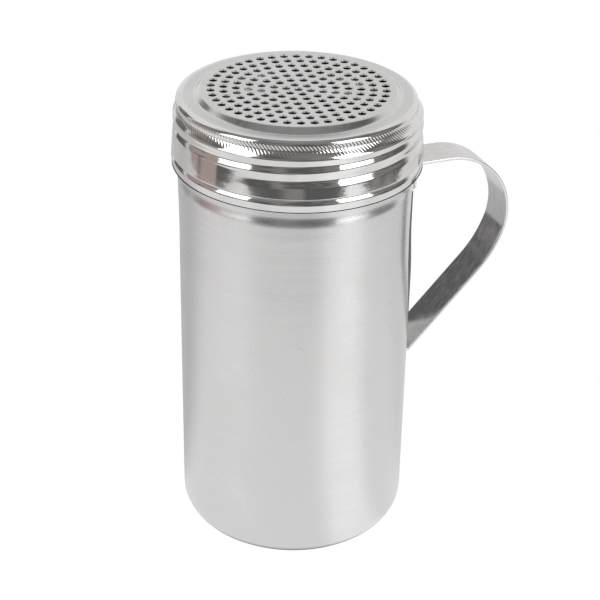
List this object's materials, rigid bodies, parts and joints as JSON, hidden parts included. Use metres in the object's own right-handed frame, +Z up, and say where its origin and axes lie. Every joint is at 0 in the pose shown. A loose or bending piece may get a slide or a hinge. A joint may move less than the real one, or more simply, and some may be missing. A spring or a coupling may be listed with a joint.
{
  "type": "spice dredge shaker",
  "caption": "Stainless steel dredge: drawn can with rounded foot, perforated screw lid with fluted rim, and a flat strap handle bent into a closed loop",
  "frame": {"origin": "centre of the can's flat base, on the surface that it stands on", "axes": "+Z up along the can's axis, +X from the axis towards the handle, +Y across the handle's strap"},
  "size_m": [0.1128, 0.079, 0.1524],
  "materials": {
    "brushed_steel": "satin, brushed around the can",
    "polished_steel": "polished skirt, satin top",
    "strap_steel": "mill finish, lightly grained"
  },
  "bodies": {
    "can_body": {"can": "brushed_steel", "handle": "strap_steel"},
    "lid_body": {"lid": "polished_steel"}
  },
  "joints": [
    {"name": "lid_lift", "type": "slide", "parent": "can_body", "child": "lid_body", "axis": [0, 0, 1], "range_m": [0, 0.05]}
  ]
}
